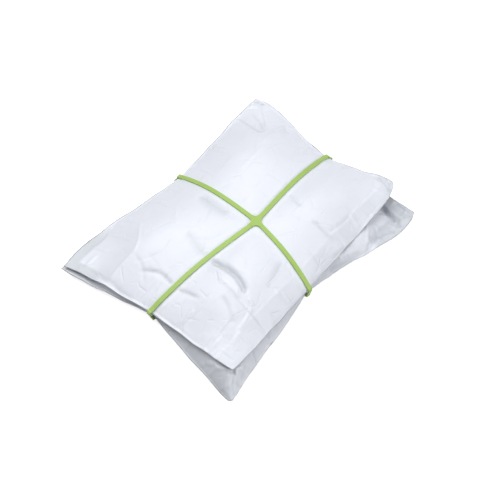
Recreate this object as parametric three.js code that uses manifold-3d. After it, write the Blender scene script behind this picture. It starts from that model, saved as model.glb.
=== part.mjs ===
// Two sealed film mailing bags of loose fill, stacked and cinched by one moulded rubber cross band.
// Millimetres, Z up. X runs along the bags and Y across them. The lower bag's belly rests on z = 0.

import * as THREE from 'three';
import Module from 'manifold-3d';

const wasm = await Module();
wasm.setup();

// Lower bag: the flat size of the mailer, and the heights that its filled pillow reaches.
const lowerLength = 330;
const lowerWidth = 254;
const lowerCornerLift = 6;
const lowerWaistLift = 11;
const lowerFill = 33;
const bellyFlat = 0.6;
const bellyEdge = 7;
const bellySquare = 6;
const bellyRise = 1.6;

// Upper bag: a smaller mailer, laid a little towards the back, with its top at the hub of the band.
const upperLength = 305;
const upperWidth = 229;
const upperShiftX = -0.5;
const upperShiftY = 6;
const upperCornerLift = 24;
const upperWaistLift = 22;
const upperTop = 49;
const upperSag = 12;
const quarterPuff = 6;

// How square each pillow's profile is: a higher power stays flat for longer, then turns down sooner.
const domeFullness = 3;
const sideFullness = 5.5;

// The surface in which the two fillings press on each other: its height at the hub, how much lower it lies
// at the waists, and how much it shifts towards the two corners on the left.
const contactHeight = 24.5;
const contactDrop = 3.5;
const contactShift = { leftBack: -4.5, leftFront: 2.5 };
const shiftStart = 0.3;
const bagGap = 0.4;

// Share of the pillow's height at which each of these is there in full: the rest of the underside on the
// lower bag, the loose folds, the flap's step and the puff of the quarters.
const restShare = 0.16;
const looseShare = 0.33;
const flapStepShare = 0.16;
const puffShare = 0.5;

// Film edge: thin all round, and thicker where the band gathers it at the waists.
const sealThickness = 0.8;
const gatherThickness = 3;
const gatherShare = 0.25;
const edgeWave = 1.1;
const edgeWaveLength = 46;

// Cross band: four arms from a hub on top, round the sides, to a hub underneath.
const bandWidth = 5.2;
const bandThickness = 1.6;
const bandClearance = 0.3;
const bandBite = 2.3;
const biteReach = 13;
const biteEnd = 0.8;
const biteFade = 0.14;
const hubX = 2;
const hubY = -15;
const hubFillet = 6;
const hubExtra = 0.35;
const arcStep = 0.4;
const stripEdge = bandWidth / 2 + 1;
const looseStart = 5;
const looseBlend = 16;
const grooveSlope = 5;
const grooveEnd = 0.78;
const grooveFade = 0.16;

// The four waists, where the arms turn over the sides: the place along each side,
// and how far the band draws each bag in there from its straight edge.
const waists = {
  left: { along: 5, upperInset: 6.5, lowerInset: 22 },
  right: { along: -3, upperInset: 12.5, lowerInset: 18 },
  back: { along: 7, upperInset: 15.5, lowerInset: 17 },
  front: { along: -14, upperInset: 5.5, lowerInset: 27 },
};

// Width of the flat film outside the filling along each side. The upper bag's front is folded over as its
// flap, and the lower bag's near sides are turned up against its filling.
const upperSides = { left: 3, right: 3, back: 3, front: 1 };
const lowerSides = { left: 2, right: 5, back: 5, front: 2 };
const cornerStart = 0.5;
const cornerBlend = 0.25;

// Each corner: how far it has moved from the flat mailer's own corner, how much it is rounded,
// how far the edge bows out on its way there from each waist, the width of the empty film there,
// how many times fuller the pillow's profile gets towards it, and how far it droops.
const lowerCorners = {
  leftBack: { move: [0, -3], round: 0.5, bowX: -5, bowY: 0, empty: 8, full: 1.5, droop: 0 },
  rightBack: { move: [1.5, -1], round: 1, bowX: 0, bowY: 0, empty: 7, full: 1, droop: 0 },
  rightFront: { move: [-10.5, 5], round: 1, bowX: 0, bowY: 9, empty: 19, full: 1, droop: 0 },
  leftFront: { move: [-9.5, -9.5], round: 14, bowX: -4.5, bowY: -8.5, empty: 1.5, full: 1.6, droop: 0 },
};
const upperCorners = {
  leftBack: { move: [-10, 1.5], round: 1, bowX: -2.5, bowY: 5.5, empty: 9, full: 1, droop: 10 },
  rightBack: { move: [1.5, -3.5], round: 0.5, bowX: 7, bowY: 1.5, empty: 4, full: 1, droop: 0 },
  rightFront: { move: [10, 14], round: 7, bowX: 3, bowY: 0, empty: 7, full: 1, droop: 0 },
  leftFront: { move: [8.5, -1.5], round: 2, bowX: 0, bowY: 0, empty: 1.5, full: 1, droop: 0 },
};

// Closing flap of the upper bag: its free edge lies parallel to the front seal.
const flapShare = 0.8;
const flapStep = 0.9;
const flapLeft = -108;
const flapRight = 86;
const flapLeftRamp = 6;
const flapRightRamp = 20;

// Folds pressed into the upper bag's top sheet, as places on the plan from end to end.
const folds = [
  { depth: 3.2, width: 5.5, path: [[-64, 6], [-65.5, -14], [-64, -34], [-67, -52], [-75, -67]] },
  { depth: 1.8, width: 5, path: [[-114, 37], [-106, 28], [-106, 14], [-107.5, 0], [-106.5, -16], [-105, -30]] },
  { depth: 1.6, width: 5.5, path: [[62, -8], [58, -26], [60, -38]] },
  { depth: 1.2, width: 7, path: [[-78, 52], [-50, 40], [-22, 20]] },
];
const foldEnds = 0.12;
const pleatHeight = 1.1;
const pleatReach = 26;
const pleatsPerTurn = 9;
const pleatFade = 6;

// Mesh lines beside the strip and inside the edge, and the number of mesh cells from the hub line to the
// edge, along and across each bag.
const besideStrip = 4;
const edgeLines = [6.5, 2.2];
const upperCellsX = 21;
const upperCellsY = 15;
const lowerCellsX = 15;
const lowerCellsY = 11;

const filmWhite = new THREE.MeshStandardMaterial({ color: 0xf0f2f8, roughness: 0.38, metalness: 0 });
const bandGreen = new THREE.MeshStandardMaterial({ color: 0x9fce4e, roughness: 0.55, metalness: 0 });

const clamp01 = (value) => Math.min(1, Math.max(0, value));
const mix = (a, b, share) => a + (b - a) * share;
const smooth = (value) => {
  const t = clamp01(value);
  return t * t * (3 - 2 * t);
};

// The lower of two values, blended over a soft range where they are close.
function softMin(a, b, range) {
  const h = Math.max(range - Math.abs(a - b), 0) / range;
  return Math.min(a, b) - (h * h * range) / 4;
}

const softMax = (a, b, range) => -softMin(-a, -b, range);

// Plan of one bag: four corners, four waists and the hub that both bags share.
function bagPlan(length, width, centreX, centreY, corners, sides, insetName) {
  const halfX = length / 2;
  const halfY = width / 2;
  const corner = (signX, signY, name) => {
    const [moveX, moveY] = corners[name].move;
    const place = new THREE.Vector2(centreX + signX * halfX + moveX, centreY + signY * halfY + moveY);
    return { ...corners[name], place, signX, signY };
  };
  return {
    halfX,
    halfY,
    sides,
    hub: new THREE.Vector2(hubX, hubY),
    leftBack: corner(-1, 1, 'leftBack'),
    rightBack: corner(1, 1, 'rightBack'),
    rightFront: corner(1, -1, 'rightFront'),
    leftFront: corner(-1, -1, 'leftFront'),
    left: new THREE.Vector2(centreX - halfX + waists.left[insetName], waists.left.along),
    right: new THREE.Vector2(centreX + halfX - waists.right[insetName], waists.right.along),
    back: new THREE.Vector2(waists.back.along, centreY + halfY - waists.back[insetName]),
    front: new THREE.Vector2(waists.front.along, centreY - halfY + waists.front[insetName]),
  };
}

function nearestCorner(plan, u, v) {
  const [left, right] = v < 0 ? ['leftFront', 'rightFront'] : ['leftBack', 'rightBack'];
  return u < 0 ? plan[left] : plan[right];
}

// A place on the plan. u and v run from -1 to 1, and are 0 along the arms of the band.
function planPoint(plan, u, v) {
  const sideX = u < 0 ? plan.left : plan.right;
  const sideY = v < 0 ? plan.front : plan.back;
  const corner = nearestCorner(plan, u, v);
  const a = Math.abs(u);
  const b = Math.abs(v);
  const point = new THREE.Vector2();
  point.addScaledVector(plan.hub, (1 - a) * (1 - b));
  point.addScaledVector(sideX, a * (1 - b));
  point.addScaledVector(sideY, (1 - a) * b);
  point.addScaledVector(corner.place, a * b);
  const bow = (share) => (256 / 27) * share ** 3 * (1 - share);
  const rounding = corner.round * (a * b) ** 10;
  point.x += corner.signX * (corner.bowX * a * a * bow(b) - rounding);
  point.y += corner.signY * (corner.bowY * b * b * bow(a) - rounding);
  return point;
}

// Share of the full height: 0 on the empty film, 1 at the hub, flat over most of the filling.
function pillowShare(plan, u, v, power) {
  const corner = nearestCorner(plan, u, v);
  const oneWay = (near, away, side, half) => {
    const empty = mix(side, corner.empty, smooth((away - cornerStart) / cornerBlend));
    const share = clamp01(near / (1 - empty / half));
    return 1 - share ** mix(power, power * corner.full, smooth(away));
  };
  const a = Math.abs(u);
  const b = Math.abs(v);
  const sideX = u < 0 ? plan.sides.left : plan.sides.right;
  const sideY = v < 0 ? plan.sides.front : plan.sides.back;
  return oneWay(a, b, sideX, plan.halfX) * oneWay(b, a, sideY, plan.halfY);
}

// Height of the seal: one value at the corners, another at the waists, with a slow wave between.
function sealHeight(u, v, cornerLift, waistLift, plan) {
  const a = Math.abs(u);
  const b = Math.abs(v);
  const towardsCorner = smooth(Math.min(a, b));
  const along = a > b ? v * plan.halfY : u * plan.halfX;
  const wave = edgeWave * Math.sin((2 * Math.PI * along) / edgeWaveLength);
  const waveShare = 4 * towardsCorner * (1 - towardsCorner);
  const droop = nearestCorner(plan, u, v).droop * towardsCorner ** 3;
  return mix(waistLift, cornerLift, towardsCorner) + wave * waveShare - droop;
}

// Thickness of the seal: the film gathers where the band draws it in.
function sealDepth(u, v) {
  const fromWaist = Math.min(Math.abs(u), Math.abs(v));
  return mix(gatherThickness, sealThickness, smooth(fromWaist / gatherShare));
}

// Distance from a place to the nearest arm of the band, on the plan.
function distanceToBand(plan, u, v, point) {
  const line = new THREE.Vector2();
  const away = new THREE.Vector2();
  const toArm = (end) => {
    line.subVectors(end, plan.hub);
    away.subVectors(point, plan.hub);
    const share = clamp01(away.dot(line) / line.lengthSq());
    return away.addScaledVector(line, -share).length();
  };
  const acrossX = toArm(u < 0 ? plan.left : plan.right);
  const acrossY = toArm(v < 0 ? plan.front : plan.back);
  return Math.min(acrossX, acrossY);
}

// 1 under the band and its hub, falling to 0 at the reach of its bite.
function biteShare(plan, u, v, point) {
  const hubEdge = bandWidth + hubFillet;
  const fromArm = distanceToBand(plan, u, v, point) - stripEdge;
  const fromHub = point.distanceTo(plan.hub) - hubEdge;
  const nearest = Math.max(0, Math.min(fromArm, fromHub));
  const fade = 1 - smooth((Math.max(Math.abs(u), Math.abs(v)) - biteEnd) / biteFade);
  return Math.exp(-((nearest / biteReach) ** 2)) * fade;
}

// Depth of a fold at a place: full along its middle, and running out at both ends.
function foldDepth(fold, point) {
  const start = new THREE.Vector2();
  const line = new THREE.Vector2();
  const away = new THREE.Vector2();
  const steps = fold.path.length - 1;
  let nearest = Infinity;
  let along = 0;
  for (let i = 0; i < steps; i += 1) {
    start.fromArray(fold.path[i]);
    line.fromArray(fold.path[i + 1]).sub(start);
    away.subVectors(point, start);
    const share = clamp01(away.dot(line) / line.lengthSq());
    const distance = away.addScaledVector(line, -share).length();
    if (distance < nearest) {
      nearest = distance;
      along = (i + share) / steps;
    }
  }
  const ends = smooth(Math.sin(Math.PI * mix(foldEnds, 1 - foldEnds, along)));
  return fold.depth * ends * Math.exp(-((nearest / fold.width) ** 2));
}

// Pleats that fan out from a waist, where the band gathers the film.
function pleats(plan, point) {
  let height = 0;
  for (const side of ['left', 'right', 'back', 'front']) {
    const x = point.x - plan[side].x;
    const y = point.y - plan[side].y;
    const reach = Math.hypot(x, y) / pleatReach;
    const swell = reach * Math.exp(1 - reach - (reach * reach) / pleatFade);
    height += pleatHeight * swell * Math.cos(pleatsPerTurn * Math.atan2(y, x));
  }
  return height;
}

// Height at which the two bags press on each other. It changes towards the two corners on the left.
function contactPlane(point) {
  const x = (point.x - hubX) / (upperLength / 2);
  const y = (point.y - hubY) / (upperWidth / 2);
  const towardsCorner = smooth((-x * Math.abs(y) - shiftStart) / (1 - shiftStart));
  const shift = y < 0 ? contactShift.leftFront : contactShift.leftBack;
  return contactHeight - contactDrop * (x * x + y * y) + shift * towardsCorner;
}

const upperPlan = bagPlan(upperLength, upperWidth, upperShiftX, upperShiftY, upperCorners, upperSides, 'upperInset');
const lowerPlan = bagPlan(lowerLength, lowerWidth, 0, 0, lowerCorners, lowerSides, 'lowerInset');

// Upper bag's top sheet: a flat dome, four puffed quarters, the band's groove, flap, folds and pleats.
function upperTopSheet(u, v) {
  const point = planPoint(upperPlan, u, v);
  const seal = sealHeight(u, v, upperCornerLift, upperWaistLift, upperPlan) + sealDepth(u, v) / 2;
  const share = pillowShare(upperPlan, u, v, domeFullness);
  const puff = quarterPuff * (Math.sin(Math.PI * u) * Math.sin(Math.PI * v)) ** 2;
  const beside = smooth((distanceToBand(upperPlan, u, v, point) - looseStart) / looseBlend);
  const loose = beside * Math.min(1, share / looseShare);
  const flapEnds = smooth((point.x - flapLeft) / flapLeftRamp) * smooth((flapRight - point.x) / flapRightRamp);
  const flap = v < -flapShare ? flapStep * flapEnds * Math.min(1, share / flapStepShare) : 0;
  let height = mix(seal, upperTop + bandBite, share) + puff * Math.min(1, share / puffShare);
  for (const fold of folds) {
    height -= foldDepth(fold, point) * loose;
  }
  height += pleats(upperPlan, point) * loose + flap * loose;
  return height - bandBite * share ** 0.5 * biteShare(upperPlan, u, v, point);
}

// Upper bag's underside: it rests on the lower bag and lifts off towards its seal.
function upperUnderSheet(u, v) {
  const point = planPoint(upperPlan, u, v);
  const seal = sealHeight(u, v, upperCornerLift, upperWaistLift, upperPlan) - sealDepth(u, v) / 2;
  const share = pillowShare(upperPlan, u, v, sideFullness);
  const free = mix(seal, seal - upperSag, share);
  return mix(seal, softMax(free, contactPlane(point) + bagGap / 2, 2), smooth(share / restShare));
}

// Lower bag's top sheet: it swells until it meets the upper bag.
function lowerTopSheet(u, v) {
  const point = planPoint(lowerPlan, u, v);
  const seal = sealHeight(u, v, lowerCornerLift, lowerWaistLift, lowerPlan) + sealDepth(u, v) / 2;
  const share = pillowShare(lowerPlan, u, v, sideFullness);
  return softMin(mix(seal, lowerFill, share), contactPlane(point) - bagGap / 2, 3);
}

// Lower bag's belly: flat on the ground, with a groove for the band, rising to the seal.
function lowerUnderSheet(u, v) {
  const point = planPoint(lowerPlan, u, v);
  const seal = sealHeight(u, v, lowerCornerLift, lowerWaistLift, lowerPlan) - sealDepth(u, v) / 2;
  const outward = (Math.abs(u) ** bellySquare + Math.abs(v) ** bellySquare) ** (1 / bellySquare);
  const lift = clamp01((outward - bellyFlat) / (1 - bellyEdge / lowerPlan.halfX - bellyFlat));
  const belly = seal * lift ** bellyRise;
  const groove = bandThickness + 2 * bandClearance;
  const fromArm = distanceToBand(lowerPlan, u, v, point) - stripEdge;
  const fromHub = point.distanceTo(lowerPlan.hub) - bandWidth - hubFillet;
  const grooveShare = 1 - smooth(Math.min(fromArm, fromHub) / grooveSlope);
  const fade = 1 - smooth((outward - grooveEnd) / grooveFade);
  return Math.min(seal, belly + groove * grooveShare * fade);
}

// Grid lines from 0 at the band to 1 at the edge: close together in the groove and at the edge.
function gridLines(half, cells, extra) {
  const edge = 1 - edgeLines[0] / half;
  const lines = [0, stripEdge / half, (stripEdge + besideStrip) / half, 1 - edgeLines[1] / half, 1];
  const first = lines[2];
  const count = cells - 4;
  for (let i = 1; i <= count; i += 1) {
    lines.push(mix(first, edge, i / count));
  }
  lines.push(...extra);
  return lines.sort((a, b) => a - b);
}

function bothWays(minus, plus) {
  return [...minus.slice(1).reverse().map((value) => -value), ...plus];
}

// One closed bag: a top sheet and an under sheet over the same grid, joined round the edge.
function bagGeometry(plan, topSheet, underSheet, linesX, linesY) {
  const columns = linesX.length;
  const rows = linesY.length;
  const positions = [];
  const index = [];
  for (const sheet of [topSheet, underSheet]) {
    for (const v of linesY) {
      for (const u of linesX) {
        const point = planPoint(plan, u, v);
        positions.push(point.x, point.y, sheet(u, v));
      }
    }
  }
  const top = (i, j) => j * columns + i;
  const under = (i, j) => columns * rows + top(i, j);
  for (let j = 0; j < rows - 1; j += 1) {
    for (let i = 0; i < columns - 1; i += 1) {
      index.push(top(i, j), top(i + 1, j), top(i + 1, j + 1), top(i, j), top(i + 1, j + 1), top(i, j + 1));
      index.push(under(i, j), under(i + 1, j + 1), under(i + 1, j));
      index.push(under(i, j), under(i, j + 1), under(i + 1, j + 1));
    }
  }
  const wall = (a, b) => {
    index.push(top(...a), under(...a), under(...b), top(...a), under(...b), top(...b));
  };
  for (let i = 0; i < columns - 1; i += 1) {
    wall([i, 0], [i + 1, 0]);
    wall([i + 1, rows - 1], [i, rows - 1]);
  }
  for (let j = 0; j < rows - 1; j += 1) {
    wall([columns - 1, j], [columns - 1, j + 1]);
    wall([0, j + 1], [0, j]);
  }
  return closedGeometry(positions, index);
}

function closedGeometry(positions, index) {
  const geometry = new THREE.BufferGeometry();
  geometry.setAttribute('position', new THREE.Float32BufferAttribute(positions, 3));
  geometry.setIndex(index);
  geometry.computeVertexNormals();
  return geometry;
}

// The film under one arm, as (distance from the hub, height), over the stack and back underneath.
// The strip bears on the highest and widest film across its width.
function armOutline(side, linesAlong) {
  const alongX = side === 'left' || side === 'right';
  const sign = side === 'left' || side === 'front' ? -1 : 1;
  const direction = upperPlan[side].clone().sub(upperPlan.hub).normalize();
  const bearing = (plan, sheet, share, highest) => {
    const across = stripEdge / (alongX ? plan.halfY : plan.halfX);
    const places = [0, -across, across].map((step) => (alongX ? [sign * share, step] : [step, sign * share]));
    const reaches = places.map(([u, v]) => planPoint(plan, u, v).sub(plan.hub).dot(direction));
    const heights = places.map(([u, v]) => sheet(u, v));
    const height = highest ? Math.max(...heights) : Math.min(...heights);
    return new THREE.Vector2(Math.max(...reaches), height);
  };
  const outline = linesAlong.upper.map((share) => bearing(upperPlan, upperTopSheet, share, true));
  outline.push(bearing(upperPlan, upperUnderSheet, 1, false));
  outline.push(bearing(lowerPlan, lowerTopSheet, 1, true));
  const underneath = linesAlong.lower.map((share) => bearing(lowerPlan, lowerUnderSheet, share, false));
  return outline.concat(underneath.reverse());
}

// The same line moved outwards, with an arc round each outer corner.
function offsetLine(line, distance) {
  const result = [];
  const normals = [];
  for (let i = 0; i < line.length - 1; i += 1) {
    const along = new THREE.Vector2().subVectors(line[i + 1], line[i]).normalize();
    normals.push(new THREE.Vector2(-along.y, along.x));
  }
  result.push(line[0].clone().addScaledVector(normals[0], distance));
  for (let i = 1; i < line.length - 1; i += 1) {
    const before = normals[i - 1];
    const after = normals[i];
    const turn = before.cross(after);
    const angle = Math.acos(THREE.MathUtils.clamp(before.dot(after), -1, 1));
    if (turn < 0 && angle > arcStep) {
      const steps = Math.ceil(angle / arcStep);
      for (let step = 0; step <= steps; step += 1) {
        const swing = before.clone().rotateAround(new THREE.Vector2(), (-angle * step) / steps);
        result.push(line[i].clone().addScaledVector(swing, distance));
      }
    } else {
      const middle = before.clone().add(after);
      result.push(line[i].clone().addScaledVector(middle, (2 * distance) / middle.lengthSq()));
    }
  }
  result.push(line[line.length - 1].clone().addScaledVector(normals[normals.length - 1], distance));
  return result;
}

// Outline of the band's section: a flat strip with its four corners taken off.
function bandSection() {
  const x = bandWidth / 2;
  const y = bandThickness / 2;
  const corner = bandThickness / 4;
  return [
    [x, -y + corner], [x, y - corner], [x - corner, y], [-x + corner, y],
    [-x, y - corner], [-x, -y + corner], [-x + corner, -y], [x - corner, -y],
  ];
}

// One arm: the strip swept from the top hub, over the side, to the hub underneath.
function armGeometry(side, linesAlong) {
  const outline = armOutline(side, linesAlong);
  const middle = offsetLine(outline, bandClearance + bandThickness / 2);
  const overlap = bandWidth / 2;
  middle.unshift(middle[0].clone().setX(-overlap));
  middle.push(middle[middle.length - 1].clone().setX(-overlap));
  const direction = upperPlan[side].clone().sub(upperPlan.hub).normalize();
  const across = new THREE.Vector3(-direction.y, direction.x, 0);
  const section = bandSection();
  const positions = [];
  const index = [];
  middle.forEach((point, i) => {
    const before = middle[Math.max(0, i - 1)];
    const after = middle[Math.min(middle.length - 1, i + 1)];
    const along = new THREE.Vector2().subVectors(after, before).normalize();
    const outward = new THREE.Vector3(-along.y * direction.x, -along.y * direction.y, along.x);
    const centre = new THREE.Vector3(hubX + point.x * direction.x, hubY + point.x * direction.y, point.y);
    for (const [x, y] of section) {
      const corner = centre.clone().addScaledVector(across, x).addScaledVector(outward, y);
      positions.push(corner.x, corner.y, corner.z);
    }
  });
  const size = section.length;
  const last = (middle.length - 1) * size;
  for (let ring = 0; ring < middle.length - 1; ring += 1) {
    for (let k = 0; k < size; k += 1) {
      const a = ring * size + k;
      const b = ring * size + ((k + 1) % size);
      index.push(a, b, b + size, a, b + size, a + size);
    }
  }
  for (let k = 1; k < size - 1; k += 1) {
    index.push(0, k + 1, k, last, last + k, last + k + 1);
  }
  return closedGeometry(positions, index);
}

// Hub: a flat star whose four inner corners are filleted into the arms.
function hubGeometry(inner, outer) {
  const order = ['right', 'back', 'left', 'front'];
  const directions = order.map((side) => upperPlan[side].clone().sub(upperPlan.hub).normalize());
  const shape = new THREE.Shape();
  directions.forEach((direction, i) => {
    const next = directions[(i + 1) % directions.length];
    const half = bandWidth / 2;
    const sine = direction.cross(next);
    const corner = direction.clone().add(next).multiplyScalar(half / sine);
    const start = corner.clone().addScaledVector(direction, hubFillet);
    const end = corner.clone().addScaledVector(next, hubFillet);
    if (i === 0) {
      shape.moveTo(start.x, start.y);
    } else {
      shape.lineTo(start.x, start.y);
    }
    shape.quadraticCurveTo(corner.x, corner.y, end.x, end.y);
  });
  const depth = outer - inner;
  const geometry = new THREE.ExtrudeGeometry(shape, { depth, bevelEnabled: false, curveSegments: 6 });
  geometry.translate(hubX, hubY, inner);
  return geometry;
}

function toSolid(geometry) {
  const position = geometry.getAttribute('position');
  const places = new Map();
  const vertices = [];
  const triangles = [];
  const order = geometry.index ? geometry.index.array : [...Array(position.count).keys()];
  for (const corner of order) {
    const point = [position.getX(corner), position.getY(corner), position.getZ(corner)];
    const key = point.map((value) => value.toFixed(4)).join(' ');
    if (!places.has(key)) {
      places.set(key, places.size);
      vertices.push(...point);
    }
    triangles.push(places.get(key));
  }
  return new wasm.Manifold(new wasm.Mesh({
    numProp: 3,
    vertProperties: new Float32Array(vertices),
    triVerts: new Uint32Array(triangles),
  }));
}

function fromSolid(solid) {
  const mesh = solid.getMesh();
  const positions = [];
  for (let i = 0; i < mesh.vertProperties.length; i += mesh.numProp) {
    positions.push(mesh.vertProperties[i], mesh.vertProperties[i + 1], mesh.vertProperties[i + 2]);
  }
  return closedGeometry(positions, [...mesh.triVerts]);
}

// The whole band: four arms and two hubs, moulded as one piece.
function crossBandGeometry(lines) {
  const topFilm = upperTopSheet(0, 0);
  const underFilm = lowerUnderSheet(0, 0);
  const near = bandClearance;
  const far = bandClearance + bandThickness + hubExtra;
  const pieces = [
    hubGeometry(topFilm + near, topFilm + far),
    hubGeometry(underFilm - near - bandThickness, underFilm - near),
    armGeometry('left', lines.left),
    armGeometry('right', lines.right),
    armGeometry('back', lines.back),
    armGeometry('front', lines.front),
  ];
  const solid = pieces.map(toSolid).reduce((whole, piece) => whole.add(piece));
  return fromSolid(solid);
}

const upperX = gridLines(upperPlan.halfX, upperCellsX, []);
const upperY = gridLines(upperPlan.halfY, upperCellsY, []);
const upperFrontY = gridLines(upperPlan.halfY, upperCellsY, [flapShare - 0.004, flapShare + 0.004]);
const lowerX = gridLines(lowerPlan.halfX, lowerCellsX, []);
const lowerY = gridLines(lowerPlan.halfY, lowerCellsY, []);

const upperBag = new THREE.Mesh(
  bagGeometry(upperPlan, upperTopSheet, upperUnderSheet, bothWays(upperX, upperX), bothWays(upperFrontY, upperY)),
  filmWhite,
);
upperBag.name = 'upper_bag';

const lowerBag = new THREE.Mesh(
  bagGeometry(lowerPlan, lowerTopSheet, lowerUnderSheet, bothWays(lowerX, lowerX), bothWays(lowerY, lowerY)),
  filmWhite,
);
lowerBag.name = 'lower_bag';

const crossBand = new THREE.Mesh(
  crossBandGeometry({
    left: { upper: upperX, lower: lowerX },
    right: { upper: upperX, lower: lowerX },
    back: { upper: upperY, lower: lowerY },
    front: { upper: upperFrontY, lower: lowerY },
  }),
  bandGreen,
);
crossBand.name = 'cross_band';

// The stack stands with the middle of its outline over the origin.
const stack = new THREE.Group();
stack.add(lowerBag, upperBag, crossBand);
const bounds = new THREE.Box3().setFromObject(stack);
const middle = bounds.getCenter(new THREE.Vector3());
stack.position.set(-middle.x, -middle.y, -bounds.min.z);
stack.updateMatrixWorld(true);

export default stack;
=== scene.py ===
"""Two sealed film packing bags, one on the other, held together by a moulded rubber cross band.

Shapes are worked out in millimetres, with X along the bags, Y across them and Z up, and are put into the
scene in metres. Each bag is a top sheet and an under sheet of thin film over one grid. The grid's two zero
lines run under the arms of the band. The film is then settled over its filling, with a little more film
than the filling needs, so that it buckles into the small folds of a slack bag."""

import bpy
import numpy as np
from bpy.props import FloatProperty, FloatVectorProperty, IntProperty, PointerProperty, StringProperty
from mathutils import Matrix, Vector


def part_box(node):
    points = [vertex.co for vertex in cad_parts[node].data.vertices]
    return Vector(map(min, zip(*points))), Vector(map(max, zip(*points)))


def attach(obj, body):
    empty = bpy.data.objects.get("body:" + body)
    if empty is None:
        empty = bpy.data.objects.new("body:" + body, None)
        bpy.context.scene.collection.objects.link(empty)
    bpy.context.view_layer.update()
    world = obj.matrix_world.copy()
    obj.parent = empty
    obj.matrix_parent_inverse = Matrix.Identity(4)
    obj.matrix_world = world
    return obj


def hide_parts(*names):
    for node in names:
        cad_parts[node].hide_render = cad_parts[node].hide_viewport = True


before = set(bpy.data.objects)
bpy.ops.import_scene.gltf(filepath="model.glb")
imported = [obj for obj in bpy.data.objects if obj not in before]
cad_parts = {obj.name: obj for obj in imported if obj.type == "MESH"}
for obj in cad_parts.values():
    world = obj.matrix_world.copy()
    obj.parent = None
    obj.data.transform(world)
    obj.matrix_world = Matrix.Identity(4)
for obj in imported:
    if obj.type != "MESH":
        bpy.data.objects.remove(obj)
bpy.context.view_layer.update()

bl_info = {
    "name": "Banded packing bags",
    "version": (1, 0, 0),
    "blender": (4, 5, 0),
    "location": "View3D > Sidebar > Packing bags",
    "description": "Two film packing bags held together by a moulded rubber cross band",
    "category": "Add Mesh",
}

MM = 0.001

# The place where the arms of the band cross, and the four waists where they turn over the sides:
# the place along each side, and how far the band draws each bag in there from its straight edge.
HUB = np.array([2.0, -15.0])
WAISTS = {
    "left": {"along": 5, "upper": 6.5, "lower": 22},
    "right": {"along": -3, "upper": 12.5, "lower": 18},
    "back": {"along": 7, "upper": 15.5, "lower": 17},
    "front": {"along": -14, "upper": 5.5, "lower": 27},
}

# Each corner, by its two signs: how far it has moved from the flat mailer's own corner, how much it is
# rounded, how far its edges at the end of X and of Y bow out on their way there, the width of the empty film
# there, how many times fuller the pillow's profile gets towards it, how far it droops, and how much painted
# shade greys its quarter's film at the side across X and at the side across Y, where the lower bag lies in
# the upper bag's shade. Lengths are in millimetres.
LOWER_CORNERS = {
    (-1, 1): {"move": (0, -3), "round": 0.5, "bow": (1.5, 0), "empty": 8, "full": 1.5, "droop": -5,
              "grey": (0.2, 0.3)},
    (1, 1): {"move": (1.5, -1), "empty": 7, "grey": (0.4, 0.4)},
    (1, -1): {"move": (-10.5, 5), "bow": (0, 9), "empty": 19, "grey": (0.3, 0.3)},
    (-1, -1): {"move": (-9.5, -9.5), "round": 14, "bow": (-4.5, -8.5), "empty": 1.5, "full": 1.6, "droop": 4,
               "grey": (1, 0)},
}
UPPER_CORNERS = {
    (-1, 1): {"move": (-10, 1.5), "bow": (-2.5, 5.5), "empty": 9, "droop": 10},
    (1, 1): {"move": (1.5, -3.5), "round": 0.5, "bow": (7, 1.5), "empty": 4},
    (1, -1): {"move": (10, 14), "round": 7, "bow": (3, 0), "empty": 7},
    (-1, -1): {"move": (8.5, -1.5), "round": 2, "empty": 1.5},
}

# What a corner has when its entry doesn't say.
PLAIN_CORNER = {"round": 1, "bow": (0, 0), "full": 1, "droop": 0, "grey": (0, 0)}

# How much higher the two bags meet towards their left front corner, and how much lower towards the left
# back one, and where on the way there this starts.
CONTACT_SHIFT = {"front": 2.5, "back": -4.5}
SHIFT_START = 0.3

# How high the upper bag's pillow stands, as a share, where its under sheet has come down to rest.
REST_SHARE = 0.16

# Least space between a bag's two sheets, and from the ground. Folds press both sheets alike where the bag is
# thinner than the second depth, and only the top one from the third on. All in millimetres.
THINNEST = 0.15
PRESSED_ALIKE = 3
PRESSED_ALONE = 12

# Width of the flat film along each side, away from the corners. The upper bag's front is folded over as its
# flap, and the lower bag's near sides are turned up against its filling.
SIDE_FILM = {
    "upper": {"left": 3, "right": 3, "back": 3, "front": 1},
    "lower": {"left": 2, "right": 5, "back": 5, "front": 2},
}

# How full the profile of a pillow is: the upper bag's top is rounder than the sheets that lie flat.
ROUND_PILLOW = 3
FLAT_PILLOW = 5.5

# The lower bag's belly: how far from the edge it has risen to the seal, in millimetres, the power by which
# its rise steepens, and the power that rounds the corners of its flat part.
BELLY_EDGE = 7
BELLY_RISE = 1.6
BELLY_ROUNDING = 6

# How far beside the band the film starts to leave it, in millimetres, and where the grooves in the upper
# and in the lower bag run out: from which share of the way to the edge, and over how much of it. The last is
# the share of the way from a waist to a corner over which the bunched film gets thin.
BAND_MARGIN = 1
BITE_END = (0.8, 0.14)
GROOVE_END = (0.78, 0.16)
GATHER_REACH = 0.25

# The grids that the film is settled on, each finer than the last: its spacing in millimetres, where 0 stands
# for the finished film's own, its number of steps, and how strongly the film resists bends on it.
GRIDS = ((6.8, 160, 0.08), (3.4, 140, 0.06), (0, 110, 0.05))

# How strongly the film keeps its diagonals, how much of its last movement it repeats in each step, how far
# each step draws it towards its filling, and the width of the edge that is held.
DIAGONALS = 0.35
DRIFT = 0.9
DRAW = 0.003
HELD_EDGE = 1.5

# The start of the settling: how far the film stands off its filling, and the lengths of its random bumps. The
# last is the length over which its spare film varies.
STAND_OFF = 0.8
START_LENGTHS = (14, 30)
SLACK_LENGTH = 35

# Beside a pressed fold's groove, its ridge lies this many of the fold's widths away. Both fall off by a power.
RIDGE_PLACE = 1.7
FOLD_POWER = 1.3

# Number of crossing sets of creases in the film, and the ripple's length and its depth inwards.
CREASE_SETS = 9
RIPPLE_LENGTH = 9
RIPPLE_DEPTH = 12

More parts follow.
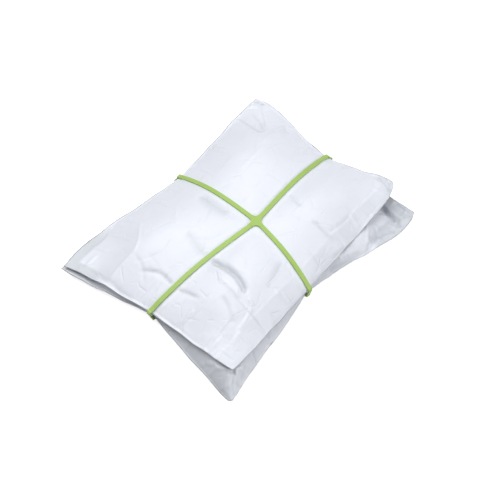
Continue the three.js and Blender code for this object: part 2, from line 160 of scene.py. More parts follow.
# Where each form fades in beside the band's middle lines, or beside the edge: from which distance and over
# what length, in millimetres. The last is the width of the flap's step.
LOOSE_BY_BAND = (0, 20)
FOLDS_BY_BAND = (3, 5)
FLAP_BY_BAND = (3, 6)
RIPPLE_BY_BAND = (0, 25)
FOLDS_BY_EDGE = (0, 3)
FLAP_SLOPE = 2

# Grey film, in millimetres: over what length it fades in from the filling outwards, from which width of the
# empty film and over how much more it gets grey, and how deep a crease is when its painted shade is full.
# The last is the flap's own share of grey.
GREY_FADE = 4
GREY_WIDTHS = (4, 5)
CREASE_SHADE_DEPTH = 2
GREY_FLAP = 0.35

# How far the start of each random draw lies from the film's seed.
SEED_STEPS = {
    "lower": {"top": 0, "under": 10, "folds": 40, "ripple": 60},
    "upper": {"top": 20, "under": 30, "folds": 50, "ripple": 70},
}

# The lights, which all aim at the middle of the floor: the stage's setting for their strength, and the place
# and the width and height of their faces, in metres.
LIGHTS = {
    "overhead_softbox": {"strength": "key", "at": (-0.03, 0.62, 1.62), "size": (1.7, 1.7)},
    "front_softbox": {"strength": "fill", "at": (0.5, -1.6, 1.0), "size": (1.2, 1.0)},
    "left_card": {"strength": "side", "at": (-1.5, -0.1, 0.45), "size": (1.2, 0.6)},
}

# Folds pressed into the top sheets, as places on the plan from end to end. Each is a groove, or a ridge
# where its depth is below 0. One with a lean has the opposite beside it: on its left where lean is above 0.
UPPER_FOLDS = [
    {"depth": 4.6, "width": 3.6, "lean": -0.35,
     "path": [(-62, 2), (-66, -12), (-66, -31), (-67, -48), (-71, -58), (-76, -68)]},
    {"depth": 1.1, "width": 5, "path": [(-57, 32), (-61, 20), (-65, 6), (-67, -12)]},
    {"depth": -1.2, "width": 3, "path": [(-78, -28), (-80, -47), (-81, -57), (-84, -66)]},
    {"depth": 1.8, "width": 1.9,
     "path": [(-124, 46), (-116, 35), (-111, 22), (-111, 8), (-112, -5), (-109, -20), (-108, -34)]},
    {"depth": 1.3, "width": 8, "path": [(-8, 60), (-11, 35), (-9, 12)]},
    {"depth": 1.5, "width": 2, "lean": 0.3, "path": [(42, -58), (43, -66), (44, -78), (46, -90)]},
    {"depth": 1.2, "width": 2, "lean": 0.3, "path": [(46, -78), (65, -81), (88, -80)]},
    {"depth": 1.2, "width": 4, "path": [(-15, -67), (-34, -72), (-56, -78)]},
    {"depth": 2.2, "width": 2.2, "path": [(-3, -54), (-6, -60), (-10, -68), (-14, -75)]},
    {"depth": 2.4, "width": 3, "lean": 0.4, "path": [(157, -60), (153, -76), (145, -90), (132, -99)]},
    {"depth": -2.0, "width": 2.0, "lean": 0.4,
     "path": [(-108, -85), (-98, -84), (-86, -82), (-78, -77), (-76, -70)]},
    {"depth": 2.6, "width": 2.2, "path": [(144, 122), (150, 114), (153, 101)]},
    {"depth": 1.2, "width": 1.8, "path": [(117, 116), (114, 104), (110, 84), (108, 66)]},
    {"depth": 1.1, "width": 1.6, "lean": 0.3, "path": [(69, 108), (64, 103), (57, 99)]},
    {"depth": 0.9, "width": 1.8, "path": [(134, 108), (128, 96), (122, 82), (108, 66)]},
    {"depth": 0.9, "width": 1.8, "lean": 0.3, "path": [(140, 96), (132, 86), (118, 72)]},
    {"depth": 1.2, "width": 3.4,
     "path": [(-152, 104), (-148, 84), (-147, 64), (-149, 44), (-146, 26)]},
    {"depth": 0.8, "width": 2.6, "path": [(56, -14), (52, -26), (47, -40)]},
    {"depth": 1.0, "width": 3.5, "path": [(-92, -48), (-98, -62), (-108, -78)]},
    {"depth": 1.3, "width": 1.8, "lean": 0.3, "path": [(33, -98), (42, -99), (54, -100)]},
]
LOWER_FOLDS = [
    {"depth": -3.4, "width": 3, "path": [(141, -78), (138, -92), (136, -106), (135, -122)]},
    {"depth": 5.6, "width": 3.2, "path": [(136, -80), (133, -96), (130, -108), (127, -124)]},
    {"depth": 4.5, "width": 3.4, "path": [(150, -94), (149, -106), (147, -124)]},
    {"depth": 2.8, "width": 3, "lean": 0.3, "path": [(122, -119), (108, -113), (94, -110), (82, -112)]},
    {"depth": 3.2, "width": 4, "lean": -0.4, "path": [(66, -115), (52, -111), (38, -106), (20, -101)]},
    {"depth": 1.8, "width": 2, "lean": 0.4, "path": [(104, -100), (101, -108), (100, -118)]},
    {"depth": -2.4, "width": 2, "lean": 0.6, "path": [(-126, -105), (-135, -110), (-148, -114)]},
    {"depth": -2.2, "width": 1.8, "lean": -0.5, "path": [(-133, -102), (-140, -111), (-144, -122)]},
    {"depth": 2.0, "width": 1.8, "lean": 0.4, "path": [(-144, -108), (-152, -116), (-157, -123)]},
    {"depth": -2.2, "width": 1.8, "lean": 0.6, "path": [(-96, -98), (-90, -105), (-84, -115)]},
    {"depth": -2.0, "width": 1.6, "lean": -0.5, "path": [(-76, -100), (-80, -107), (-88, -112)]},
    {"depth": 1.8, "width": 2, "lean": -0.4, "path": [(-108, -104), (-112, -113), (-118, -123)]},
]


def millimetres(name, description, value):
    return FloatProperty(
        name=name, description=description, default=value * MM, unit="LENGTH", subtype="DISTANCE"
    )


def share(name, description, value):
    return FloatProperty(name=name, description=description, default=value, min=0, max=1, subtype="FACTOR")


def place(name, description, x, y, z=0):
    return FloatVectorProperty(
        name=name, description=description, default=(x * MM, y * MM, z * MM), unit="LENGTH",
        subtype="TRANSLATION",
    )


def angle(name, description, degrees):
    return FloatProperty(name=name, description=description, default=np.radians(degrees), subtype="ANGLE")


def watts(name, description, value):
    return FloatProperty(name=name, description=description, default=value, unit="POWER")


def whole(name, description, value):
    return IntProperty(name=name, description=description, default=value)


def colour(name, description, value):
    return StringProperty(name=name, description=description + ", as an sRGB hex value", default=value)


class LowerBagSizes(bpy.types.PropertyGroup):
    """Sizes of the lower bag, in metres"""
    length: millimetres("Length", "Flat length of the mailer", 330)
    width: millimetres("Width", "Flat width of the mailer", 254)
    centre: place("Centre", "Place of the bag's middle on the plan", 0, 0)
    corner_lift: millimetres("Corner lift", "Height of the seal at the corners", 6)
    waist_lift: millimetres("Waist lift", "Height of the seal at the waists", 11)
    fill: millimetres("Fill", "Height that the filling reaches where nothing presses on it", 33)
    belly: share("Belly", "Share of the bag that lies flat on the ground", 0.6)


class UpperBagSizes(bpy.types.PropertyGroup):
    """Sizes of the upper bag, in metres"""
    length: millimetres("Length", "Flat length of the mailer", 305)
    width: millimetres("Width", "Flat width of the mailer", 229)
    centre: place("Centre", "Place of the bag's middle on the plan", -0.5, 6)
    corner_lift: millimetres("Corner lift", "Height of the seal at the corners", 24)
    waist_lift: millimetres("Waist lift", "Height of the seal at the waists", 22)
    top: millimetres("Top", "Height of the top sheet under the band's hub", 49)
    sag: millimetres("Sag", "How far the under sheet hangs below the seal", 12)
    puff: millimetres("Puff", "How far each quarter swells above the band", 6)
    flap: share("Flap", "Share of the half width where the closing flap's free edge lies", 0.8)
    flap_step: millimetres("Flap step", "Height of the flap's edge above the sheet it is stuck to", 0.8)


class FilmSettings(bpy.types.PropertyGroup):
    """How the film of both bags lies"""
    cell: millimetres("Cell", "Grid spacing of the finished film", 1.5)
    slack: share("Slack", "Film in excess of the filling, away from the edges", 0.007)
    edge_slack: share("Edge slack", "Film in excess of the filling, along the seals", 0.035)
    crumple: millimetres("Crumple", "Height of the shallow dents between the creases", 0.4)
    crumple_length: millimetres("Crumple length", "Usual size of the shallow dents", 16)
    small_folds: whole("Small folds", "Number of short creases on each top sheet", 42)
    ripple: millimetres("Ripple", "How far the sealed edges rise and fall", 0.5)
    gather: millimetres("Gather", "Thickness of the bunched film at the waists", 3)
    edge: millimetres("Edge", "Thickness of the sealed edge", 0.4)
    wave: millimetres("Wave", "Height of the slow wave along the seals", 1.1)
    wave_length: millimetres("Wave length", "Length of the slow wave along the seals", 46)
    gap: millimetres("Gap", "Space between the two bags where they press on each other", 0.4)
    contact: millimetres("Contact", "Height at the hub where the bags press on each other", 24.5)
    contact_drop: millimetres("Contact drop", "How much lower the bags meet at the waists", 3.5)
    seed: whole("Seed", "Start of all the film's random draws", 3)
    white: colour("White", "Colour of the film over its filling", "#e2e5ee")
    # This grey is also painted shade, in the deep creases and on the lower bag's shaded quarters.
    grey: colour("Grey", "Colour of the film's empty margins", "#c8ccd3")


class BandSizes(bpy.types.PropertyGroup):
    """Sizes of the cross band, in metres"""
    width: millimetres("Width", "Width of each arm", 5.2)
    thickness: millimetres("Thickness", "Thickness of each arm", 1.6)
    clearance: millimetres("Clearance", "Space between the band and the film", 0.3)
    bite: millimetres("Bite", "How deep the band presses into the upper bag", 2.3)
    bite_reach: millimetres("Bite reach", "How far from the band the film is pressed in", 13)
    fillet: millimetres("Fillet", "Radius of the hub's inner corners", 6)
    groove_slope: millimetres("Groove slope", "Width of the sloped sides of the belly's groove", 5)
    green: colour("Green", "Colour of the rubber", "#a1c064")


class StageSettings(bpy.types.PropertyGroup):
    """The camera, floor and lights"""
    target: place("Target", "Place that the camera looks at", -15.5, -19.7, 18.9)
    distance: millimetres("Distance", "Camera distance from the target", 1370)
    azimuth: angle("Azimuth", "Camera direction about Z", -49)
    elevation: angle("Elevation", "Camera height angle", 55)
    lens: FloatProperty(name="Lens", description="Focal length of the camera", default=90, unit="CAMERA")
    key: watts("Key", "Strength of the large overhead light", 32.5)
    fill: watts("Fill", "Strength of the light from the front", 20)
    side: watts("Side", "Strength of the low light from the left", 3)
    sky: share("Sky", "Brightness of the even light from all round", 0.12)
    floor: colour("Floor", "Colour of the floor", "#fafafa")
    floor_glow: share("Floor glow", "Light that the floor gives off, as a lit table does", 0.7)


def smooth_step(value):
    t = np.clip(value, 0, 1)
    return t * t * (3 - 2 * t)


def ramp(value, start, length):
    """0 up to the start, and 1 from one length beyond it on, with a soft change between."""
    return smooth_step((value - start) / length)


def mix(a, b, part):
    return a + (b - a) * part


def soft_min(a, b, reach):
    """The lower of two values, blended over a soft range where they are close."""
    h = np.maximum(reach - np.abs(a - b), 0) / reach
    return np.minimum(a, b) - h * h * reach / 4


def soft_max(a, b, reach):
    return -soft_min(-a, -b, reach)


def bow_share(part):
    """A bulge that is 0 at both ends of an edge, and 1 at three quarters of the way to its corner."""
    return 256 / 27 * part ** 3 * (1 - part)


class Outline:
    """A bag's grid of film on the plan, in millimetres. u and v run from -1 to 1 and are 0 along the band. a
    and b are their sizes, and to_edge is the larger one."""

    def __init__(self, which, bag, band, corners, cell):
        self.which = which
        self.half = np.array([bag.length, bag.width]) / MM / 2
        self.centre = np.array(bag.centre[:2]) / MM
        self.band = band
        self.corners = {signs: {**PLAIN_CORNER, **corner} for signs, corner in corners.items()}
        columns, rows = (2 * round(half / cell) + 1 for half in self.half)
        self.u, self.v = np.meshgrid(np.linspace(-1, 1, columns), np.linspace(-1, 1, rows))
        self.a, self.b = np.abs(self.u), np.abs(self.v)
        self.to_edge = np.maximum(self.a, self.b)
        self.from_edge = (1 - self.to_edge) * self.half[0]
        self.plan = self.plan_points()
        self.from_band = self.distance_to_band()
        self.from_hub = np.linalg.norm(self.plan - HUB, axis=-1)

    def waist(self, side):
        along, inset = WAISTS[side]["along"], WAISTS[side][self.which]
        low, high = self.centre - self.half + inset, self.centre + self.half - inset
        spots = {
            "left": (low[0], along), "right": (high[0], along),
            "back": (along, high[1]), "front": (along, low[1]),
        }
        return np.array(spots[side])

    def quarter(self, signs):
        """The part of the grid that leads to one corner."""
        return ((self.u < 0) == (signs[0] < 0)) & ((self.v < 0) == (signs[1] < 0))

    def plan_points(self):
        points = np.zeros(self.u.shape + (2,))
        for signs, corner in self.corners.items():
            here = self.quarter(signs)
            a, b = self.a[here][:, None], self.b[here][:, None]
            end = self.centre + np.array(signs) * self.half + corner["move"]
            side_x = self.waist("left" if signs[0] < 0 else "right")
            side_y = self.waist("front" if signs[1] < 0 else "back")
            flat = HUB * (1 - a) * (1 - b) + side_x * a * (1 - b) + side_y * (1 - a) * b + end * a * b
            bow = np.hstack([corner["bow"][0] * a * a * bow_share(b), corner["bow"][1] * b * b * bow_share(a)])
            points[here] = flat + np.array(signs) * (bow - corner["round"] * (a * b) ** 10)
        return points

    def distance_to_band(self):
        halves = {"left": self.u < 0, "right": self.u >= 0, "back": self.v >= 0, "front": self.v < 0}
        nearest = np.full(self.u.shape, np.inf)
        away = self.plan - HUB
        for side, here in halves.items():
            line = self.waist(side) - HUB
            part = np.clip(away @ line / (line @ line), 0, 1)
            distance = np.linalg.norm(away - part[..., None] * line, axis=-1)
            nearest = np.where(here, np.minimum(nearest, distance), nearest)
        return nearest

    def by_corner(self, name):
        """A corner's own value, over the whole quarter of the bag that leads to it."""
        value = np.zeros(self.u.shape + np.shape(self.corners[1, 1][name]))
        for signs, corner in self.corners.items():
            value[self.quarter(signs)] = corner[name]
        return value

    def empty_film(self):
        """Width of the flat film outside the filling, at the sides across X and at the sides across Y."""
        sides, corner = SIDE_FILM[self.which], self.by_corner("empty")
        side_x = np.where(self.u < 0, sides["left"], sides["right"])
        side_y = np.where(self.v < 0, sides["front"], sides["back"])
        return [
            mix(side, corner, ramp(away, 0.5, 0.25))
            for side, away in ((side_x, self.b), (side_y, self.a))
        ]

    def pillow(self, power):
        """0 on the empty film, 1 at the hub, and flat over most of the filling."""
        empty_x, empty_y = self.empty_film()
        a = np.clip(self.a / (1 - empty_x / self.half[0]), 0, 1)
        b = np.clip(self.b / (1 - empty_y / self.half[1]), 0, 1)
        full = self.by_corner("full")
        power_a, power_b = (mix(power, power * full, smooth_step(away)) for away in (self.b, self.a))
        return (1 - a ** power_a) * (1 - b ** power_b)

    def seal_height(self, bag, film):
        towards_corner = smooth_step(np.minimum(self.a, self.b))
        along = np.where(self.a > self.b, self.v * self.half[1], self.u * self.half[0])
        swing = film.wave / MM * np.sin(2 * np.pi * along / (film.wave_length / MM))
        lift = mix(bag.waist_lift / MM, bag.corner_lift / MM, towards_corner)
        droop = self.by_corner("droop") * towards_corner ** 2
        return lift + swing * 4 * towards_corner * (1 - towards_corner) - droop

    def half_depth(self, film):
        """Half the thickness of the sealed edge, which bunches up at the waists."""
        from_waist = ramp(np.minimum(self.a, self.b), 0, GATHER_REACH)
        return mix(film.gather, film.edge, from_waist) / MM / 2

    def bite(self):
        """1 under the band and its hub, falling to 0 at the reach of its bite."""
        strip_edge = self.band.width / MM / 2 + BAND_MARGIN
        hub_edge = (self.band.width + self.band.fillet) / MM
        nearest = np.maximum(0, np.minimum(self.from_band - strip_edge, self.from_hub - hub_edge))
        fade = 1 - ramp(self.to_edge, *BITE_END)
        return np.exp(-(nearest / (self.band.bite_reach / MM)) ** 2) * fade

    def under_band(self):
        return (self.from_band < self.band.width / MM / 2 + 0.5) | (self.from_hub < self.band.width / MM)

    def contact(self, film):
        """Height at which the two fillings press on each other."""
        upper = bpy.context.scene.upper_bag
        away = (self.plan - HUB) / (np.array([upper.length, upper.width]) / MM / 2)
        x, y = away[..., 0], away[..., 1]
        shift = np.where(y < 0, CONTACT_SHIFT["front"], CONTACT_SHIFT["back"])
        towards_corner = ramp(-x * np.abs(y), SHIFT_START, 1 - SHIFT_START)
        return film.contact / MM - film.contact_drop / MM * (x * x + y * y) + shift * towards_corner


def upper_top_form(outline, bag, film):
    """Smooth height of the upper bag's top: a flat dome with four puffed quarters and the band's groove."""
    pillow = outline.pillow(ROUND_PILLOW)
    seal = outline.seal_height(bag, film) + outline.half_depth(film)
    puff = bag.puff / MM * (np.sin(np.pi * outline.u) * np.sin(np.pi * outline.v)) ** 2
    bite = outline.band.bite / MM
    height = mix(seal, bag.top / MM + bite, pillow) + puff * np.minimum(1, pillow * 2)
    return height - bite * np.sqrt(pillow) * outline.bite()


def upper_under_form(outline, bag, film):
    """Smooth height of the upper bag's underside: it rests on the lower bag and lifts off towards its seal."""
    pillow = outline.pillow(FLAT_PILLOW)
    seal = outline.seal_height(bag, film) - outline.half_depth(film)
    lowest = outline.contact(film) + film.gap / MM / 2
    resting = soft_max(seal - bag.sag / MM * pillow, lowest, reach=2)
    return mix(seal, resting, ramp(pillow, 0, REST_SHARE))


def lower_top_form(outline, bag, film):
    """Smooth height of the lower bag's top sheet: it swells until it meets the upper bag."""
    seal = outline.seal_height(bag, film) + outline.half_depth(film)
    highest = outline.contact(film) - film.gap / MM / 2
    return soft_min(mix(seal, bag.fill / MM, outline.pillow(FLAT_PILLOW)), highest, reach=3)


def lower_under_form(outline, bag, film):
    """Smooth height of the lower bag's belly: flat on the ground, grooved for the band, rising to the seal."""
    seal = outline.seal_height(bag, film) - outline.half_depth(film)
    band = outline.band
    outward = (outline.a ** BELLY_ROUNDING + outline.b ** BELLY_ROUNDING) ** (1 / BELLY_ROUNDING)
    lift = np.clip((outward - bag.belly) / (1 - BELLY_EDGE / outline.half[0] - bag.belly), 0, 1)
    groove = (band.thickness + 2 * band.clearance) / MM
    from_strip = outline.from_band - band.width / MM / 2 - BAND_MARGIN
    from_hub = outline.from_hub - (band.width + band.fillet) / MM
    in_groove = 1 - smooth_step(np.minimum(from_strip, from_hub) / (band.groove_slope / MM))
    fade = 1 - ramp(outward, *GROOVE_END)
    return np.minimum(seal, seal * lift ** BELLY_RISE + groove * in_groove * fade)


def curved_path(path, steps=6):
    """The chosen places of a fold, joined by one smooth curve through all of them."""
    points = np.array(path, float)
    padded = np.vstack([2 * points[0] - points[1], points, 2 * points[-1] - points[-2]])
    t = np.linspace(0, 1, steps, endpoint=False)[:, None]
    curve = []
    for p0, p1, p2, p3 in zip(padded, padded[1:], padded[2:], padded[3:]):
        bend = (2 * p0 - 5 * p1 + 4 * p2 - p3) * t ** 2 + (3 * p1 - p0 - 3 * p2 + p3) * t ** 3
        curve.append(p1 + ((p2 - p0) * t + bend) / 2)
    return np.vstack(curve + [points[-1:]])


def from_path(plan, path):
    """For each place on the plan: its distance to a path, above 0 on its left, and its share of the way."""
    nearest = np.full(plan.shape[:-1], np.inf)
    side, along = np.zeros_like(nearest), np.zeros_like(nearest)
    steps = len(path) - 1
    for i in range(steps):
        line, away = path[i + 1] - path[i], plan - path[i]
        part = np.clip(away @ line / (line @ line), 0, 1)
        distance = np.linalg.norm(away - part[..., None] * line, axis=-1)
        closer = distance < nearest
        nearest = np.where(closer, distance, nearest)
        side = np.where(closer, np.sign(line[0] * away[..., 1] - line[1] * away[..., 0]), side)
        along = np.where(closer, (i + part) / steps, along)
    return nearest * side, along


def fold_height(plan, fold):
    """A pressed fold: a sharp groove with a lower ridge beside it, running out at both ends."""
    distance, along = from_path(plan, curved_path(fold["path"]))
    away = distance / fold["width"]
    groove = np.exp(-np.abs(away) ** FOLD_POWER)
    lean = fold.get("lean", 0)
    ridge = np.exp(-np.abs(away - np.sign(lean) * RIDGE_PLACE) ** FOLD_POWER)
    return fold["depth"] * smooth_step(np.sin(np.pi * along) * 2) * (abs(lean) * ridge - groove)


def crumple(outline, length, draws):
    """Heights from about -1 to 1 with straight, sharp creases in all directions, each running out again. They
    are higher towards the seals, where the film is handled."""
    plan = outline.plan
    cell = 2 * outline.half[0] / plan.shape[1]
    height = np.zeros(plan.shape[:-1])
    for _ in range(CREASE_SETS):
        turn, spacing = draws.uniform(0, np.pi), length * draws.uniform(0.6, 1.5)
        across = plan @ (np.cos(turn), np.sin(turn)) / spacing + draws.uniform(0, 2)
        across += 0.6 * soft_noise(height.shape, cell, 3 * length, draws)
        shown = smooth_step(soft_noise(height.shape, cell, 1.6 * length, draws) * 2.2 - 0.4)
        height += shown * (np.abs(across % 2 - 1) - 0.5) * spacing / length
    return height * mix(0.45, 1, ramp(outline.to_edge, 0.5, 0.4))


def slope_of(height, plan):
    """How steeply a height field rises along X and along Y, worked out over its grid."""
    height_v, height_u = np.gradient(height)
    x_v, x_u = np.gradient(plan[..., 0])
    y_v, y_u = np.gradient(plan[..., 1])
    scale = x_u * y_v - x_v * y_u
    return (height_u * y_v - height_v * y_u) / scale, (x_u * height_v - x_v * height_u) / scale


def neighbour_pairs(shape, row_step, column_step):
    """Pairs of grid points some rows and columns apart, in two sets in which no point comes twice."""
    j, i = np.meshgrid(np.arange(shape[0]), np.arange(shape[1]), indexing="ij")
    inside = (j + row_step < shape[0]) & (i + column_step >= 0) & (i + column_step < shape[1])
    j, i = j[inside], i[inside]
    first, second = j * shape[1] + i, (j + row_step) * shape[1] + i + column_step
    turn = (j // row_step if row_step else i // column_step) % 2
    return [(first[turn == part], second[turn == part]) for part in (0, 1)]


def film_springs(smooth, shape, slack_u, slack_v, stiff):
    """The distances that a sheet keeps: along its rows, columns and diagonals, and across each bend. Each kind
    is a step over the rows and columns, and its strength."""
    springs = []
    kinds = [(0, 1, 1), (1, 0, 1), (1, 1, DIAGONALS), (1, -1, DIAGONALS), (0, 2, stiff), (2, 0, stiff)]
    for row_step, column_step, strength in kinds:
        for first, second in neighbour_pairs(shape, row_step, column_step):
            rest = np.linalg.norm(smooth[second] - smooth[first], axis=-1)
            along_u = (slack_u[first] + slack_u[second]) / 2 * (column_step != 0)
            along_v = (slack_v[first] + slack_v[second]) / 2 * (row_step != 0)
            parts = (column_step != 0) + (row_step != 0)
            bend = max(abs(row_step), abs(column_step)) == 2
            rest = rest * (1 + (along_u + along_v) / parts)
            springs.append((first, second, rest, strength, bend))
    return springs


def settle(points, form, plan, held, slack, outward, steps, stiff):
    """Lets one sheet of film find its place over its filling. The film keeps its size, which is a little too
    large, resists sharp bends, and stays outside the filling: above it where outward is 1, below where -1."""
    shape = form.shape
    smooth = np.dstack([plan, form]).reshape(-1, 3)
    springs = film_springs(smooth, shape, slack[0].ravel(), slack[1].ravel(), stiff)
    slope_x, slope_y = (part.ravel() for part in slope_of(form, plan))
    free = ~held.ravel()
    weight = free.astype(float)
    film = points.reshape(-1, 3).copy()
    before = film.copy()
    for _ in range(steps):
        drift = (film - before) * DRIFT
        before = film.copy()
        film[free] += drift[free]
        film[free, 2] -= outward * DRAW
        for first, second, rest, strength, bend in springs:
            line = film[second] - film[first]
            length = np.sqrt((line * line).sum(-1))
            miss = (length - rest) / length
            if bend:
                miss = np.minimum(miss, 0)
            both = weight[first] + weight[second]
            step = (strength * miss / np.maximum(both, 1))[:, None] * line
            film[first] += step * weight[first][:, None]
            film[second] -= step * weight[second][:, None]
        away = film[:, :2] - smooth[:, :2]
        limit = smooth[:, 2] + slope_x * away[:, 0] + slope_y * away[:, 1]
        inside = free & ((film[:, 2] - limit) * outward < 0)
        film[inside, 2] = limit[inside]
    return film.reshape(points.shape)


def finer(values, shape):
    """A grid of values spread over another grid, straight between its own points."""
    row, column = (np.linspace(0, count - 1, new) for count, new in zip(values.shape, shape))
    j, i = np.minimum(row.astype(int), values.shape[0] - 2), np.minimum(column.astype(int), values.shape[1] - 2)
    t, s = (row - j)[:, None, None], (column - i)[None, :, None]
    lower, upper = values[j], values[j + 1]
    return mix(mix(lower[:, i], lower[:, i + 1], s), mix(upper[:, i], upper[:, i + 1], s), t)


def soft_noise(shape, cell, length, draws):
    """Random heights from -1 to 1 that change over a given length."""
    coarse = [max(3, int(count * cell / length) + 2) for count in shape]
    return finer(draws.uniform(-1, 1, (*coarse, 1)), shape)[..., 0]


def slack_fields(outline, film, draws, cell):
    """Spare film along the rows and along the columns. A seal has spare film along its own length."""
    uneven = 0.6 + 0.4 * soft_noise(outline.u.shape, cell, SLACK_LENGTH, draws)
    edge = film.edge_slack - film.slack
    return [(film.slack + edge * ramp(outward, 0.55, 0.45)) * uneven for outward in (outline.b, outline.a)]


def sheet(which, corners, form_of, outward, seed):
    """One sheet of a bag, settled on a coarse grid first and then on finer ones."""
    scene = bpy.context.scene
    bag, band, film = getattr(scene, which + "_bag"), scene.cross_band, scene.film
    draws = np.random.default_rng(seed)
    offset = None
    for spacing, steps, stiff in GRIDS:
        spacing = spacing or film.cell / MM
        outline = Outline(which, bag, band, corners, spacing)
        form = form_of(outline, bag, film)
        smooth = np.dstack([outline.plan, form])
        held = (outline.to_edge > 1 - HELD_EDGE / outline.half[0]) | outline.under_band()
        if offset is None:
            loose = smooth_step((1 - outline.to_edge) * 8) * ramp(outline.from_band, *LOOSE_BY_BAND)
            start = sum(soft_noise(form.shape, spacing, length, draws) for length in START_LENGTHS)
            offset = np.zeros_like(smooth)
            offset[..., 2] = outward * STAND_OFF * (1 + start) * loose
        else:
            offset = finer(offset, form.shape)
        slack = slack_fields(outline, film, np.random.default_rng(seed + 1), spacing)
        offset = settle(smooth + offset, form, outline.plan, held, slack, outward, steps, stiff) - smooth
    return outline, smooth + offset


def small_folds(outline, count, draws):
    """Short creases from handling, at random places and in random directions."""
    edge = outline.plan.reshape(-1, 2)
    folds = []
    for _ in range(count):
        middle, turn = draws.uniform(edge.min(0), edge.max(0)), draws.uniform(0, np.pi)
        along = np.array([np.cos(turn), np.sin(turn)]) * draws.uniform(7, 24)
        bend = np.array([-along[1], along[0]]) * draws.uniform(-0.3, 0.3)
        folds.append({
            "depth": draws.uniform(0.2, 0.55), "width": draws.uniform(1.3, 2),
            "lean": draws.choice([-0.25, 0.25]),
            "path": [middle - along, middle + bend, middle + along],
        })
    return folds


def edge_ripple(outline, film, seed):
    """The uneven line of a sealed edge: both sheets rise and fall together there."""
    noise = soft_noise(outline.u.shape, film.cell / MM, RIPPLE_LENGTH, np.random.default_rng(seed))
    near_edge = 1 - ramp(outline.from_edge, 0, RIPPLE_DEPTH)
    return film.ripple / MM * noise * near_edge * ramp(outline.from_band, *RIPPLE_BY_BAND)


def press_folds(outline, film, folds, seed):
    """The placed folds and the small creases of one top sheet, with none under the band."""
    draws = np.random.default_rng(seed)
    folds = folds + small_folds(outline, film.small_folds, draws)
    height = sum(fold_height(outline.plan, fold) for fold in folds)
    height += film.crumple / MM * crumple(outline, film.crumple_length / MM, draws)
    return height * ramp(outline.from_band, *FOLDS_BY_BAND) * ramp(outline.from_edge, *FOLDS_BY_EDGE)


def rim_of(shape):
    """The outermost points of a grid."""
    rim = np.ones(shape, bool)
    rim[1:-1, 1:-1] = False
    return rim


def press(top, under, pressed):
    """Presses folds into a bag's top sheet. Where the bag is thin, its bottom sheet goes with the top one."""
    depth = top[..., 2] - under[..., 2]
    top[..., 2] = np.maximum(top[..., 2] + pressed, 2 * THINNEST)
    under[..., 2] += pressed * (1 - ramp(depth, PRESSED_ALIKE, PRESSED_ALONE - PRESSED_ALIKE))
    limit = np.where(rim_of(depth.shape), top[..., 2], top[..., 2] - THINNEST)
    under[..., 2] = np.clip(under[..., 2], np.minimum(THINNEST, limit), limit)


def flap_height(outline, bag):
    """The closing flap: the front edge's film, folded over and stuck down, ends in one crisp step."""
    over = smooth_step((-outline.v - bag.flap) * outline.half[1] / FLAP_SLOPE + 0.5)
    by_band = ramp(outline.from_band, *FLAP_BY_BAND)
    return bag.flap_step / MM * over * by_band * ramp((1 - outline.b) * outline.half[1], *FOLDS_BY_EDGE)


def add_object(name, data):
    thing = bpy.data.objects.new(name, data)
    bpy.context.scene.collection.objects.link(thing)
    return thing


def bag_mesh(name, top, under, margin):
    """A closed bag, whose sheets share the points of their edge. Its attribute of the film's grey holds the
    empty margins' grey, and painted shade in the creases and under the upper bag.
    """
    rows, columns = top.shape[:2]
    number = np.arange(rows * columns).reshape(rows, columns)
    rim = rim_of((rows, columns))
    below = np.where(rim, number, 0)
    below[~rim] = rows * columns + np.arange((~rim).sum())
    points = top.copy()
    points[rim] = (top[rim] + under[rim]) / 2
    points = np.vstack([points.reshape(-1, 3), under[~rim]]) * MM

    def faces(grid, flip):
        quads = np.stack([grid[:-1, :-1], grid[:-1, 1:], grid[1:, 1:], grid[1:, :-1]], -1).reshape(-1, 4)
        return quads[:, ::-1] if flip else quads

    mesh = bpy.data.meshes.new(name)
    mesh.from_pydata(points.tolist(), [], np.vstack([faces(number, False), faces(below, True)]).tolist())
    mesh.shade_smooth()
    values = np.concatenate([margin.ravel(), margin[~rim]])
    mesh.attributes.new("margin", "FLOAT", "POINT").data.foreach_set("value", values.astype(np.float32))
    return add_object(name, mesh)


def to_frame(outline, node):
    """How far the mailers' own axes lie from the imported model's, found from the outline of one bag."""
    low, high = (np.array(corner)[:2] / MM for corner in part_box(node))
    edge = outline.plan.reshape(-1, 2)
    return np.append((low + high - edge.min(0) - edge.max(0)) / 2, 0)


def to_linear(hex_value):
    """An sRGB hex colour as linear values with full alpha."""
    parts = [int(hex_value[i:i + 2], 16) / 255 for i in (1, 3, 5)]
    return [part / 12.92 if part <= 0.04045 else ((part + 0.055) / 1.055) ** 2.4 for part in parts] + [1]


def add_node(tree, kind, settings=None, links=None):
    """Adds a node. Settings name its inputs or its own options. Links name its inputs and what feeds them."""
    node = tree.nodes.new(kind)
    for name, value in (settings or {}).items():
        if isinstance(name, int) or name in node.inputs:
            node.inputs[name].default_value = value
        else:
            setattr(node, name, value)
    for name, source in (links or {}).items():
        tree.links.new(source, node.inputs[name])
    return node


def new_material(name):
    material = bpy.data.materials.new(name)
    material.use_nodes = True
    tree = material.node_tree
    tree.nodes.clear()
    return material, tree


def noise(tree, where, length, **settings):
    """Noise from 0 to 1 that changes over a given length, in millimetres."""
    settings = {"Scale": 1 / (length * MM), **settings}
    return add_node(tree, "ShaderNodeTexNoise", settings, {"Vector": where}).outputs["Fac"]


def spread(tree, value, of=(0, 1), to=(0, 1)):
    """A value of one range, moved to another."""
    settings = {"From Min": of[0], "From Max": of[1], "To Min": to[0], "To Max": to[1]}
    return add_node(tree, "ShaderNodeMapRange", settings, {"Value": value}).outputs["Result"]


def higher(tree, first, second):
    return add_node(tree, "ShaderNodeMath", {"operation": "MAXIMUM"}, {0: first, 1: second}).outputs["Value"]


def relief(tree, height, strength, depth, under=None):
    """Fine relief with a given depth, in millimetres, and with another one under it."""
    links = {"Height": height} if under is None else {"Height": height, "Normal": under}
    settings = {"Strength": strength, "Distance": depth * MM}
    return add_node(tree, "ShaderNodeBump", settings, links).outputs["Normal"]


